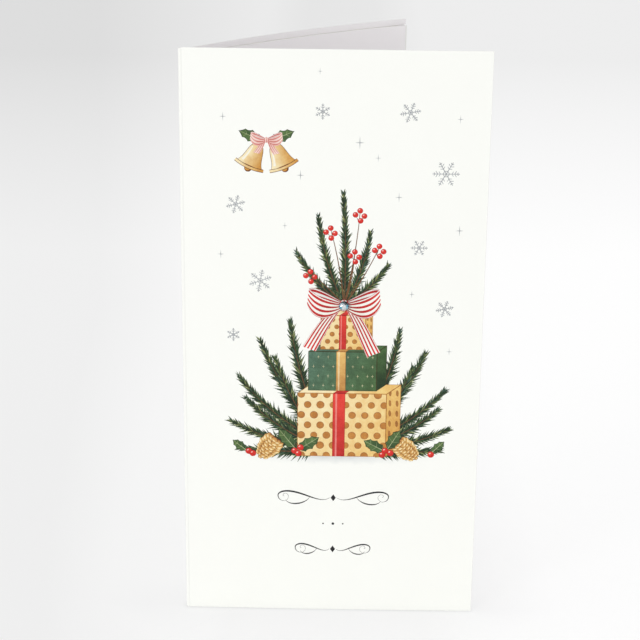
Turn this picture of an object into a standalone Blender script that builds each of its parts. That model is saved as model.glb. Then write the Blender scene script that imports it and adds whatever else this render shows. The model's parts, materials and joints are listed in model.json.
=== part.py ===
"""Money gift wallet: one sheet of card, creased into a front cover, a bowed back cover and a
folded-in pocket that opens towards the spine, with a small faceted stone glued to the front.

The wallet stands half open on its bottom edges. Metres, +Z up, front cover facing -Y, spine on the
left. The plan of the card is drawn round the crease axis, and the whole wallet then hangs on one
empty, so that the zero of the file is the middle of its box, at the floor.
"""

import math

import bmesh
import bpy
from mathutils import Vector

# Driving dimensions, in metres, and one angle in degrees
card_thickness = 0.0004
layer_gap = 0.0003  # between layers, and between a panel and its fold

cover_width = 0.100  # front cover, from the spine's outer edge to the free edge
cover_height = 0.198
back_length = 0.097  # back cover along its curve, from the crease strip to the outer fold
back_drop = 0.001  # the back cover's top edge lies this much below the front's
back_bow_radius = 0.290
rest_opening = 50.5  # between the two covers where they leave the spine

mouth_setback = 0.004  # the pocket's mouth stops this far from the crease strip
pocket_trim = 0.0021  # the pocket stops this short of the back cover, top and bottom
notch_radius = 0.012  # thumb notch in the pocket's mouth
tape_thickness = 0.0001
tape_width = 0.006
tape_inset = 0.003  # the tape stops this short of the outer fold and of the mouth

gem_diameter = 0.0034
gem_height = 0.0012
gem_girdle = 0.0002
gem_rest_gap = 0.0001  # between stone, foil, glue and card
gem_foil_thickness = 0.0001
gem_glue_thickness = 0.0001
gem_from_spine = 0.0538
gem_from_floor = 0.1128

# Shares, chosen by hand, of the stone's diameter and height
gem_table_share = 0.48
gem_shoulder_share = 0.80
gem_shoulder_height_share = 0.60
gem_foil_share = 0.94
gem_glue_share = 0.70

# Straight steps along each curve
bow_steps = 24
fold_steps = 12
notch_steps = 48
disc_steps = 24
gem_facets = 8

# Sizes that follow
half_card = card_thickness / 2
pocket_room = layer_gap + tape_thickness + layer_gap
pocket_fold_radius = (pocket_room + card_thickness) / 2
pocket_inset = pocket_fold_radius + pocket_fold_radius
spine_inner_radius = (pocket_room + card_thickness + layer_gap) / 2
spine_mid_radius = spine_inner_radius + half_card
spine_outer_radius = spine_inner_radius + card_thickness
back_reach = back_length + pocket_fold_radius + half_card
back_height = cover_height - back_drop
pocket_height = back_height - pocket_trim - pocket_trim
cutter_overrun = layer_gap
opening = math.radians(rest_opening)


def polar(radius, angle):
    """The plan point at this radius and angle round the plan's zero."""
    return Vector((radius * math.cos(angle), radius * math.sin(angle)))


def arc(centre, radius, first, last, steps):
    """Plan points along a circle's arc, both ends included."""
    angles = [first + (last - first) * step / steps for step in range(steps + 1)]
    return [centre + polar(radius, angle) for angle in angles]


def facing(length):
    """The angle that the back cover's outer side faces, this far along it from the spine."""
    return opening - length / back_bow_radius + math.pi / 2


crease = Vector((0.0, 0.0))
bow_centre = polar(spine_mid_radius - back_bow_radius, facing(0.0))


def bowed(inset, first, last):
    """Plan points between two lengths along the bow, this far inside the back cover's middle."""
    return arc(bow_centre, back_bow_radius - inset, facing(first), facing(last), bow_steps)


def start_scene():
    """An empty scene, with a collection for the wallet and one for what cuts it."""
    for old in list(bpy.data.objects):
        bpy.data.objects.remove(old)
    collections = []
    for name in ("money_gift_wallet", "cutters"):
        collection = bpy.data.collections.new(name)
        bpy.context.scene.collection.children.link(collection)
        collections.append(collection)
    return collections


wallet, cutters = start_scene()


def finish(name, colour, roughness, metallic=0.0, transmission=0.0):
    """A Principled material of one colour."""
    material = bpy.data.materials.new(name)
    material.use_nodes = True
    shader = material.node_tree.nodes["Principled BSDF"]
    shader.inputs["Base Color"].default_value = (*colour, 1.0)
    shader.inputs["Roughness"].default_value = roughness
    shader.inputs["Metallic"].default_value = metallic
    shader.inputs["Transmission Weight"].default_value = transmission
    return material


white_card = finish("white_card", (0.93, 0.93, 0.91), 0.6)
crease_card = finish("crease_card", (0.91, 0.91, 0.90), 0.65)
inner_card = finish("inner_card", (0.88, 0.88, 0.87), 0.7)
clear_tape = finish("clear_tape", (0.85, 0.84, 0.78), 0.3)
cut_crystal = finish("cut_crystal", (0.80, 0.90, 0.95), 0.03, transmission=0.9)
mirror_foil = finish("mirror_foil", (0.82, 0.86, 0.90), 0.15, metallic=1.0)
clear_glue = finish("clear_glue", (0.80, 0.78, 0.72), 0.35)


def put(name, data, folder, carrier=None, place=(0.0, 0.0, 0.0)):
    """An object in a collection, hung on its carrier."""
    thing = bpy.data.objects.new(name, data)
    thing.location = place
    thing.parent = carrier
    folder.objects.link(thing)
    return thing


# Everything hangs on one empty, and the front cover swings on another, which stands on the crease
wallet_middle = put("wallet_middle", None, wallet)
crease_axis = put("crease_axis", None, wallet, wallet_middle)


def sheet_on_edge(name, path, thickness, low, height, material, carrier):
    """A sheet that stands on edge: a plan path drawn up to its height and given its thickness."""
    plan = bpy.data.curves.new(name, "CURVE")
    plan.dimensions = "2D"
    plan.fill_mode = "NONE"
    plan.extrude = height / 2
    line = plan.splines.new("POLY")
    line.points.add(len(path) - 1)
    for point, place in zip(line.points, path):
        point.co = (place.x, place.y, 0.0, 1.0)
    drawn = put(name + "_plan", plan, wallet)
    depsgraph = bpy.context.evaluated_depsgraph_get()
    mesh = bpy.data.meshes.new_from_object(drawn.evaluated_get(depsgraph))
    bpy.data.objects.remove(drawn)
    mesh.materials.append(material)
    sheet = put(name, mesh, wallet, carrier, (0.0, 0.0, low + height / 2))
    skin = sheet.modifiers.new("sheet_thickness", "SOLIDIFY")
    skin.thickness = thickness
    skin.offset = 0.0
    skin.use_even_offset = True
    return sheet


def cut(sheet, cutter):
    """Takes the cutter's shape out of a sheet."""
    cutter.hide_render = True
    cutter.display_type = "WIRE"
    difference = sheet.modifiers.new(cutter.name, "BOOLEAN")
    difference.operation = "DIFFERENCE"
    difference.solver = "EXACT"
    difference.object = cutter


# Front cover: a flat panel from the crease strip to the free edge
front_path = [
    Vector((layer_gap, -spine_mid_radius)),
    Vector((cover_width - spine_outer_radius, -spine_mid_radius)),
]
sheet_on_edge("front_cover", front_path, card_thickness, 0.0, cover_height, white_card, crease_axis)

# Crease strip: it wraps the crease axis from the front cover round to the back cover
spine_path = arc(crease, spine_mid_radius, math.pi * 3 / 2, facing(0.0), fold_steps)
sheet_on_edge("spine_fold", spine_path, card_thickness, 0.0, back_height, crease_card, wallet_middle)

# Back cover: it leaves the spine at the rest opening and bows round towards the front cover.
# Its outer edge is cut away between two corner ears, where the outer fold takes over.
back_path = bowed(0.0, layer_gap, back_reach)
back_cover = sheet_on_edge(
    "back_cover", back_path, card_thickness, 0.0, back_height, white_card, wallet_middle
)


def fold_cutter():
    """A box over the outer fold, square to the sheet there, clear of the fold's own gap."""
    shape = bmesh.new()
    bmesh.ops.create_cube(shape, size=1.0)
    along = back_reach - back_length + cutter_overrun
    across = card_thickness + cutter_overrun + cutter_overrun
    tall = pocket_height + layer_gap + layer_gap
    bmesh.ops.scale(shape, vec=(along, across, tall), verts=shape.verts)
    mesh = bpy.data.meshes.new("fold_cutter")
    shape.to_mesh(mesh)
    shape.free()
    place = bow_centre + polar(back_bow_radius, facing(back_length))
    place -= polar(along / 2, facing(back_length) + math.pi / 2)
    height = pocket_trim + pocket_height / 2
    cutter = put("fold_cutter", mesh, cutters, wallet_middle, (place.x, place.y, height))
    cutter.rotation_euler.z = facing(back_length) - math.pi / 2
    return cutter


cut(back_cover, fold_cutter())

# Outer fold: half a turn inwards at the end of the back cover
fold_start = back_length + layer_gap
fold_centre = bow_centre + polar(back_bow_radius - pocket_fold_radius, facing(fold_start))
fold_path = arc(
    fold_centre, pocket_fold_radius, facing(fold_start), facing(fold_start) - math.pi, fold_steps
)
sheet_on_edge(
    "pocket_fold", fold_path, card_thickness, pocket_trim, pocket_height, crease_card, wallet_middle
)

# Pocket panel: parallel to the back cover, from the outer fold to its mouth near the spine
panel_path = bowed(pocket_inset, mouth_setback, back_length)
pocket_panel = sheet_on_edge(
    "pocket_panel", panel_path, card_thickness, pocket_trim, pocket_height, inner_card, wallet_middle
)


def notch_cutter():
    """A round bar through the middle of the pocket's mouth, square to the panel."""
    shape = bmesh.new()
    bmesh.ops.create_cone(
        shape,
        cap_ends=True,
        segments=notch_steps,
        radius1=notch_radius,
        radius2=notch_radius,
        depth=card_thickness + pocket_room,
    )
    mesh = bpy.data.meshes.new("notch_cutter")
    shape.to_mesh(mesh)
    shape.free()
    place = bow_centre + polar(back_bow_radius - pocket_inset, facing(mouth_setback))
    height = pocket_trim + pocket_height / 2
    cutter = put("notch_cutter", mesh, cutters, wallet_middle, (place.x, place.y, height))
    cutter.rotation_euler = (math.pi / 2, 0.0, facing(mouth_setback) - math.pi / 2)
    return cutter


cut(pocket_panel, notch_cutter())

# Tape: two strips inside the pocket, one along the top edge and one along the bottom edge
tape_path = bowed(pocket_fold_radius, mouth_setback + tape_inset, back_length - tape_inset)
tape_levels = {
    "top_glue_strip": pocket_trim + pocket_height - tape_width,
    "bottom_glue_strip": pocket_trim,
}
for tape_name, tape_level in tape_levels.items():
    sheet_on_edge(
        tape_name, tape_path, tape_thickness, tape_level, tape_width, clear_tape, wallet_middle
    )


def on_front(name, mesh, material, standoff):
    """A piece of the stone, its own up turned to face out of the front cover."""
    mesh.materials.append(material)
    place = (gem_from_spine - spine_outer_radius, -spine_outer_radius - standoff, gem_from_floor)
    piece = put(name, mesh, wallet, crease_axis, place)
    piece.rotation_euler.x = math.pi / 2
    return piece


def disc(name, diameter, thickness):
    """A flat round disc that stands on its own zero."""
    shape = bmesh.new()
    bmesh.ops.create_cone(
        shape,
        cap_ends=True,
        segments=disc_steps,
        radius1=diameter / 2,
        radius2=diameter / 2,
        depth=thickness,
    )
    bmesh.ops.translate(shape, vec=(0.0, 0.0, thickness / 2), verts=shape.verts)
    mesh = bpy.data.meshes.new(name)
    shape.to_mesh(mesh)
    shape.free()
    return mesh


def ring(diameter, height, count, turn):
    """Points spaced evenly round a ring; a turn of 0.5 starts half a step on."""
    places = []
    for step in range(count):
        point = polar(diameter / 2, math.tau * (step + turn) / count)
        places.append((point.x, point.y, height))
    return places


def cut_stone():
    """A flat-backed stone: a girdle, two rows of facets and a table, as the hull of its corners."""
    shoulder_height = gem_girdle + (gem_height - gem_girdle) * gem_shoulder_height_share
    corners = ring(gem_diameter, 0.0, 2 * gem_facets, 0.0)
    corners += ring(gem_diameter, gem_girdle, 2 * gem_facets, 0.0)
    corners += ring(gem_diameter * gem_shoulder_share, shoulder_height, gem_facets, 0.5)
    corners += ring(gem_diameter * gem_table_share, gem_height, gem_facets, 0.0)
    shape = bmesh.new()
    points = [shape.verts.new(corner) for corner in corners]
    bmesh.ops.convex_hull(shape, input=points)
    mesh = bpy.data.meshes.new("gem_crystal")
    shape.to_mesh(mesh)
    shape.free()
    return mesh


# Stone: glue dot, foil and crystal, stacked out from the front cover
glue_standoff = gem_rest_gap
foil_standoff = glue_standoff + gem_glue_thickness + gem_rest_gap
crystal_standoff = foil_standoff + gem_foil_thickness + gem_rest_gap
glue_mesh = disc("gem_glue", gem_diameter * gem_glue_share, gem_glue_thickness)
foil_mesh = disc("gem_foil", gem_diameter * gem_foil_share, gem_foil_thickness)
on_front("gem_glue", glue_mesh, clear_glue, glue_standoff)
on_front("gem_foil", foil_mesh, mirror_foil, foil_standoff)
on_front("gem_crystal", cut_stone(), cut_crystal, crystal_standoff)

# The middle of the box in plan goes to the zero of the file
stone_front = -spine_outer_radius - crystal_standoff - gem_height
back_corner = bow_centre + polar(back_bow_radius + half_card, facing(back_reach))
wallet_middle.location.x = spine_outer_radius - cover_width / 2
wallet_middle.location.y = -(stone_front + back_corner.y) / 2
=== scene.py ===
# %% [markdown]
# Money gift wallet
#
# This notebook dresses a finished CAD model of a money gift wallet: one sheet of white card, creased
# into a front cover, a back cover and a pocket, with a printed winter picture and one small stone on
# its front. The CAD model already has every size, joint and gap. What is made here is what the eye
# sees: the card's real cut edges and creases, the ink, the stone's facets and the light.
#
# The frame is loaded first and nothing in it is moved.

# %% Load the frame
import json
import math
import random

import bmesh
import bpy
import numpy as np
from mathutils import Matrix, Vector, geometry


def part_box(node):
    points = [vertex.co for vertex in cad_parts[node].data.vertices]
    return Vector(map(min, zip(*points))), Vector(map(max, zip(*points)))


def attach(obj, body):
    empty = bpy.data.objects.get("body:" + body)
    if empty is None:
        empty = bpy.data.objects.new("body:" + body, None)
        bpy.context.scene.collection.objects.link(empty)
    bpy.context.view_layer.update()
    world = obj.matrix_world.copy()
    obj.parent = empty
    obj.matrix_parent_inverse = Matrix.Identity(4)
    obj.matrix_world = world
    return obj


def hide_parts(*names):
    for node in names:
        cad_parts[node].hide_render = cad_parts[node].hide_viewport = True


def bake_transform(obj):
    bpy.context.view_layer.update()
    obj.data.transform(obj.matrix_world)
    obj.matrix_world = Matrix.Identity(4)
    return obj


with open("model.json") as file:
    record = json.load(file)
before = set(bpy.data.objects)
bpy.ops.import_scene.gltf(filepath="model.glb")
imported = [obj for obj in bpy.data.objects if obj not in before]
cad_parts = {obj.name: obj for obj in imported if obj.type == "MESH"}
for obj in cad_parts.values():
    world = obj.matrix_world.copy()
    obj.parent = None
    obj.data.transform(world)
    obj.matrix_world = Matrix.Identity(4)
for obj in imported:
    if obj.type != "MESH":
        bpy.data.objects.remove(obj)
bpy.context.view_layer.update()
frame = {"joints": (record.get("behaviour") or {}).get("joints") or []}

# %% [markdown]
# Sizes
#
# In plan the whole wallet is drawn round one point, the crease axis, which is also the joint's axis.
# So the joint's place is read from the frame, and the card's thickness, the covers' widths and the
# heights come from the boxes of the CAD nodes. What a box can't tell is how far the wallet stands open,
# how strongly its back is bowed, and the few lengths along the back.

# %% Sizes of the card
MM = 0.001

front_low, front_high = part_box("front_cover")
back_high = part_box("back_cover")[1]
spine_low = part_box("spine_fold")[0]
pocket_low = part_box("pocket_panel")[0]

crease = np.array(frame["joints"][0]["pos_m"][:2])
half_card = (front_high.y - front_low.y) / 2
spine_outer = crease[0] - spine_low.x
spine_mid = spine_outer - half_card
front_reach = front_high.x - crease[0]

opening = math.radians(50.5)
bow_radius = 290 * MM
back_length = 97 * MM
pocket_inset = 1.1 * MM
fold_radius = pocket_inset / 2

print(f"front {(front_reach + spine_outer) / MM:.1f} x {front_high.z / MM:.1f} mm,",
      f"card {2 * half_card / MM:.2f} mm")

# %% [markdown]
# Plans of the sheet
#
# Seen from above, the sheet is a line: straight across the front, round the crease, bowed along the
# back, round a tiny outer fold, and back along the pocket. Each stretch gets a function that takes
# lengths along it and gives the middle of the card there and the direction that its outer side faces.
# Every panel is then a flat outline carried onto its plan, as a flat sheet becomes a folded one.

# %% Plans of the sheet
SWELL = 0.35 * MM


def polar(radius, angle):
    """Plan points at a radius and angles."""
    return np.stack([radius * np.cos(angle), radius * np.sin(angle)], axis=-1)


def facing(length):
    """The angle that the back cover's outer side faces, this far from the spine."""
    return opening - length / bow_radius + math.pi / 2


bow_centre = crease + polar(spine_mid - bow_radius, facing(0))
fold_centre = bow_centre + polar(bow_radius - fold_radius, facing(back_length))


def front_plan(length):
    """Straight and facing the viewer, but for a slight swell towards the viewer."""
    share = length / front_reach
    ahead = -spine_mid - 4 * SWELL * share * (1 - share)
    lean = 4 * SWELL / front_reach * (1 - 2 * share)
    return crease + np.stack([length, ahead], axis=-1), -math.pi / 2 - lean


def spine_plan(length):
    """Round the crease axis, from the front cover to the back cover."""
    angle = -math.pi / 2 - length / spine_mid
    return crease + polar(spine_mid, angle), angle


def bowed_plan(inset, turn=0.0):
    """The plan of a stretch that runs parallel to the back cover, this far inside its middle."""
    return lambda length: (bow_centre + polar(bow_radius - inset, facing(length)), facing(length) + turn)


def fold_plan(length):
    """Half a turn inwards at the outer edge."""
    angle = facing(back_length) - length / fold_radius
    return fold_centre + polar(fold_radius, angle), angle


back_plan = bowed_plan(0)
print("the back's outer edge is at", np.round((back_plan(back_length)[0] - crease) / MM, 1),
      "mm from the crease")

# %% [markdown]
# Shader sums
#
# A procedural finish is mostly arithmetic on noise and positions. Wrapping a socket in a small class
# lets that arithmetic be written as ordinary Python sums, and every other node comes from one method.

# %% A socket that can be used in sums


class Flow:
    """A shader value on its way from one node to the next."""

    def __init__(self, finish, socket):
        self.finish = finish
        self.socket = socket

    def sums(operation, reflected=False):
        """An operator: a Math node on this value and another, or on the other and this one."""
        def operator(self, other):
            first, second = (other, self) if reflected else (self, other)
            return self.finish.node("ShaderNodeMath", {"operation": operation}, {0: first, 1: second})
        return operator

    __add__ = __radd__ = sums("ADD")
    __mul__ = __rmul__ = sums("MULTIPLY")
    __sub__, __rsub__ = sums("SUBTRACT"), sums("SUBTRACT", reflected=True)
    __truediv__, __pow__ = sums("DIVIDE"), sums("POWER")


class Nodes:
    """A node tree that values flow through, up to its last node."""

    def __init__(self, owner, last):
        owner.use_nodes = True
        self.tree = owner.node_tree
        self.last = self.tree.nodes[last]

    def node(self, kind, settings=None, inputs=None, output=0):
        """A node of this kind: its settings first, then a value or a link for each socket named."""
        made = self.tree.nodes.new(kind)
        for name, value in (settings or {}).items():
            if name == "stops":
                stops = made.color_ramp.elements
                stops[0].color = value[0]
                stops[1].color = value[-1]
                for i, tone in enumerate(value[1:-1], 1):
                    stops.new(i / (len(value) - 1)).color = tone
            else:
                setattr(made, name, value)
        for name, value in (inputs or {}).items():
            if isinstance(value, Flow):
                self.tree.links.new(value.socket, made.inputs[name])
            else:
                made.inputs[name].default_value = value
        return Flow(self, made.outputs[output])

    def place(self, axis=None):
        """Where a spot of the piece lies, or how far along one axis."""
        place = self.node("ShaderNodeTexCoord", output="Object")
        return self.node("ShaderNodeSeparateXYZ", {}, {"Vector": place}, axis) if axis else place

    def drive(self, socket, value):
        """Sends a value to one of the last node's sockets."""
        self.tree.links.new(value.socket, self.last.inputs[socket])
        return self


class Finish(Nodes):
    """One material's nodes, ending in a Principled shader."""

    def __init__(self, name, **fixed):
        self.material = bpy.data.materials.new(name)
        super().__init__(self.material, "Principled BSDF")
        for socket, value in fixed.items():
            self.last.inputs[socket.replace("_", " ")].default_value = value

    def noise(self, scale, detail=2.0, roughness=0.5, stretch=(1, 1, 1)):
        """Smooth noise over the piece, from 0 to 1, with this many ripples a metre."""
        place = self.node("ShaderNodeVectorMath", {"operation": "MULTIPLY"}, {0: self.place(), 1: stretch})
        return self.node("ShaderNodeTexNoise", {}, {"Vector": place, "Scale": scale, "Detail": detail,
                                                    "Roughness": roughness})

    def blend(self, share, first, second, mode="MIX"):
        """A Mix node on two colours."""
        return self.node("ShaderNodeMix", {"data_type": "RGBA", "blend_type": mode},
                         {0: share, 6: first, 7: second}, output=2)

    def bumps(self, height, depth, strength=1.0):
        """Raises the surface by a height of 0 to 1 times this depth in metres."""
        bump = self.node("ShaderNodeBump", {}, {"Height": height, "Distance": depth, "Strength": strength})
        return self.drive("Normal", bump)


def linear(tone):
    """A colour written as on a screen, in the linear numbers that shaders use."""
    tone = np.asarray(tone, float)
    return np.where(tone <= 0.04045, tone / 12.92, ((tone + 0.055) / 1.055) ** 2.4)


def hues(codes):
    """Colours written as six hexadecimal digits each, as three shares of full brightness."""
    return [np.array([int(code[i:i + 2], 16) / 255 for i in (0, 2, 4)]) for code in codes.split()]


def inks(codes):
    """The same colours in linear numbers, with full opacity."""
    return [(*linear(tone), 1) for tone in hues(codes)]


# %% [markdown]
# Card
#
# The wallet is smooth white board of about 350 grams a square metre. It isn't flat white: the fibres
# mottle it faintly, its tooth catches light from the side, and its sheen is uneven. Real board scatters
# light so evenly that a rough Principled surface with a fine bump is enough. The cut edge shows the
# board's layers, and along the crease the surface is stretched and its coating has hairline cracks.

# %% Card finishes
FIBRES, TOOTH, MOTTLE, LAYERS, RIPPLES = 1500, 4200, 90, 900, 500


def card_finish(name, codes="f6f7f2 f1f1ed"):
    """Smooth white board: a faint mottle, a fine tooth and an uneven sheen."""
    finish = Finish(name, IOR=1.47, Specular_IOR_Level=0.35)
    mottle = finish.noise(MOTTLE, 4, 0.6)
    fibres = finish.noise(FIBRES, 3, 0.6, stretch=(1, 1, 0.45))
    tooth = finish.noise(TOOTH, 2, 0.5)
    finish.base = finish.blend(mottle * 0.30 + fibres * 0.12, *inks(codes))
    finish.drive("Base Color", finish.base)
    finish.drive("Roughness", 0.52 + fibres * 0.16 + mottle * 0.05)
    return finish.bumps(fibres * 0.6 + tooth * 0.4, 0.012 * MM, 0.5)


white_card = card_finish("white_card")
inner_card = card_finish("inner_card", "f4f1f2 eeebed")

edge_card = Finish("cut_edge_card", IOR=1.47, Specular_IOR_Level=0.25)
layers = edge_card.noise(LAYERS, 4, 0.7)
edge_card.drive("Base Color", edge_card.blend(layers, *inks("fbfbf8 dfe0de")))
edge_card.drive("Roughness", 0.7 + layers * 0.2)
edge_card.bumps(layers, 0.03 * MM)

crease_card = card_finish("crease_card", "eff0eb eaeae6")
cracks = crease_card.noise(LAYERS, 5, 0.7, stretch=(3, 3, 0.6))
crease_card.drive("Base Color", crease_card.blend(cracks ** 4, crease_card.base, *inks("dfe0de")))
crease_card.bumps(cracks, 0.015 * MM, 0.6)

tape = Finish("pressed_tape", IOR=1.47, Transmission_Weight=0.5)
ripple = tape.noise(RIPPLES, 3, 0.6, stretch=(1, 1, 6))
tape.drive("Base Color", tape.blend(ripple, *inks("f1eedf dcd7c2")))
tape.drive("Roughness", 0.25 + ripple * 0.3)
tape.bumps(ripple, 0.01 * MM)
print("finishes", [m.name for m in bpy.data.materials if m.use_nodes])

# %% [markdown]
# Working with outlines
#
# Card panels and printed motifs are both flat outlines, so three tools serve both: one draws an
# outline in by a different way at each edge, one fills outlines with triangles that have an edge along
# every outline, and one says which points an outline goes round.

# %% Outline tools
JOIN = 1e-3
PARALLEL = 1e-6


def moved_in(outline, insets):
    """A closed anticlockwise outline with each edge moved inwards by its own inset."""
    run = np.roll(outline, -1, axis=0) - outline
    run /= np.linalg.norm(run, axis=1)[:, None]
    inward = np.column_stack([-run[:, 1], run[:, 0]])
    moved = outline.copy()
    corners = zip(np.roll(inward, 1, axis=0), inward, np.roll(insets, 1), insets)
    for i, (a, b, first, second) in enumerate(corners):
        turn = a[0] * b[1] - a[1] * b[0]
        if abs(turn) < PARALLEL:
            moved[i] += a * first
        else:
            moved[i] += np.array([first * b[1] - second * a[1], second * a[0] - first * b[0]]) / turn
    return moved


def triangulated(loops, inner=()):
    """Points and triangles that fill the hull of some loops, with an edge along every loop."""
    points, edges = [], []
    for loop in loops:
        start, count = len(points), len(loop)
        points.extend(Vector(p) for p in loop)
        edges.extend((start + i, start + (i + 1) % count) for i in range(count))
    points.extend(Vector(p) for p in inner)
    made = geometry.delaunay_2d_cdt(points, edges, [], 0, JOIN, False)
    return np.array([tuple(p) for p in made[0]]), np.array([tuple(f) for f in made[2]])


def inside(points, outline):
    """Which points an outline goes round."""
    x, z = points[:, :1], points[:, 1:]
    (ax, az), (bx, bz) = outline.T, np.roll(outline, -1, axis=0).T
    side = (bx - ax) * (z - az) - (x - ax) * (bz - az)
    climbs = ((az <= z) & (bz > z) & (side > 0)).sum(axis=1)
    return climbs != ((az > z) & (bz <= z) & (side < 0)).sum(axis=1)


# %% [markdown]
# Drawing the print
#
# The front is printed with a winter picture. A picture could be a texture, but then it would be as
# coarse as its pixels. Here it is drawn as outlines in millimetres, each with an ink, laid down in
# order as a painter would. Later the card's front face is cut along all these outlines, so the print
# is part of the sheet and its edges stay sharp from any distance.
#
# An ink is a function: it takes points and gives a colour and an opacity for each. A plain tone will
# do as well, where nothing changes over the outline.

# %% Inks


def mix(first, second, share):
    """Between two colours or two places."""
    return first + (second - first) * share


def flat(tone, opacity):
    """One even tone."""
    return lambda p: np.column_stack([np.tile(tone, (len(p), 1)), np.full(len(p), opacity)])


def changing(share_at, first, second, opacity, last_opacity):
    """One tone that runs into another, by a function that gives a share for each point."""
    fade = (opacity if last_opacity is None else last_opacity) - opacity

    def ink(p):
        share = np.clip(share_at(p), 0, 1)[:, None]
        return np.column_stack([mix(first, second, share), opacity + fade * share])
    return ink


def shade(first, second, start, end, opacity=1.0, last_opacity=None):
    """One tone that runs into another from a start to an end."""
    start, run = np.array(start, float), np.array(end, float) - np.array(start, float)
    return changing(lambda p: (p - start) @ run / (run @ run), first, second, opacity, last_opacity)


def glow(first, second, centre, reach, opacity=1.0, last_opacity=None):
    """One tone that runs into another from a centre outwards, over a reach across and up."""
    return changing(lambda p: np.linalg.norm((p - np.array(centre)) / np.array(reach), axis=1),
                    first, second, opacity, last_opacity)


strokes = []


def paint(outline, ink, opacity=1.0, clip=None):
    """Lays an ink or a plain tone down inside an outline, and inside the clip outline if there is one."""
    strokes.append((np.array(outline, float), ink if callable(ink) else flat(ink, opacity), clip))


# %% [markdown]
# The outlines come from a few kinds of line: ovals, smooth curves through handles, leaves between two
# curves, and bands, which are lines with a width that may swell and taper like a brush stroke.

# %% Outlines


def step(angle):
    """The unit step at this angle, in degrees anticlockwise from the right."""
    return np.array([math.cos(math.radians(angle)), math.sin(math.radians(angle))])


def bearing(run):
    """The angle of a run, in degrees anticlockwise from the right."""
    return math.degrees(math.atan2(run[1], run[0]))


def aside(run):
    """A run turned a quarter turn to its left."""
    return np.array([-run[1], run[0]])


def ends(first, last):
    """Two ends as points."""
    return np.array(first, float), np.array(last, float)


def oval(centre, width, height, turn=0, count=16):
    """An oval, turned by an angle in degrees."""
    angles = np.linspace(0, math.tau, count, endpoint=False)
    return np.array(centre) + np.outer(np.cos(angles) * width / 2, step(turn)) \
        + np.outer(np.sin(angles) * height / 2, step(turn + 90))


def disc(centre, size, count=16):
    """A round oval."""
    return oval(centre, size, size, count=count)


def curve(*handles, count=14):
    """A smooth curve from the first handle to the last, drawn towards those between."""
    t = np.linspace(0, 1, count)[:, None]
    last = len(handles) - 1
    return sum(math.comb(last, i) * (1 - t) ** (last - i) * t ** i * np.array(handle, float)
               for i, handle in enumerate(handles))


def band(line, widths):
    """The outline of a line that has a width at each of its points."""
    line = np.array(line, float)
    run = np.gradient(line, axis=0)
    run /= np.linalg.norm(run, axis=1)[:, None]
    half = np.column_stack([-run[:, 1], run[:, 0]]) * (np.broadcast_to(widths, len(line)) / 2)[:, None]
    return np.vstack([line - half, (line + half)[::-1]])


def taper(line, first, last):
    """A band that runs evenly from one width to another."""
    return band(line, np.linspace(first, last, len(line)))


def leaf(base, tip, width, belly=0.45, count=10):
    """A pointed leaf between two curves."""
    base, tip = ends(base, tip)
    run = tip - base
    side = aside(run) / np.linalg.norm(run) * width
    middle = base + run * belly
    return np.vstack([curve(base, middle - side, tip, count=count),
                      curve(tip, middle + side, base, count=count)[1:-1]])


def shrunk(outline, inset):
    """An outline drawn in by a short way, for shapes without narrow necks."""
    points = np.array(outline, float)
    around = np.roll(points, -1, axis=0)
    turns = np.sum(points[:, 0] * around[:, 1] - around[:, 0] * points[:, 1])
    return moved_in(points, np.full(len(points), math.copysign(inset, turns)))


# %% [markdown]
# The inks are those of a winter picture in watercolour: firs and holly in cool and warm greens, wrapping
# paper in honey and rust, ribbon and berries in red, and glints and snowflakes in a quiet grey.

# %% Ink colours
NIGHT_GREEN, DEEP_GREEN, FIR_GREEN = hues("0f1c12 22391f 47653c")
MOSS_GREEN, BLUE_GREEN, SPRING_GREEN = hues("7c8f52 567565 bcc27c")
BARK, HONEY, PALE_HONEY, AMBER = hues("6f4a2e efc67c fcebc4 cf9446")
TAN, RUST, DARK_RUST = hues("c07f3d a2612b 6e3b1a")
RED, DARK_RED, BRIGHT_RED, ROSE = hues("d42a26 a31a1e e8443a e8a49c")
WHITE, CREAM, SHADOW, SILVER, BLACK, BLUSH = hues("ffffff fbf4e8 b9bdc6 a3a6ad 1d1d21 fbe9e4")
FIRS = [DEEP_GREEN, FIR_GREEN, BLUE_GREEN, FIR_GREEN, MOSS_GREEN, SPRING_GREEN]

draw = random.Random(7)

# %% [markdown]
# Fir sprigs
#
# A sprig is a bent stem with two rows of needles that lean more and shorten towards the tip. Each
# needle is one thin stroke, dark at the stem and lighter at its point. A pale wash goes down first with
# a dark one along its middle, then a dark layer of needles and a lighter one over it, which gives depth
# without drawing any shadow. Needles that later paint will hide are left out, so that the card isn't
# cut where nothing shows.

# %% Fir sprigs
NEEDLE_STEP = 0.8


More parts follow.
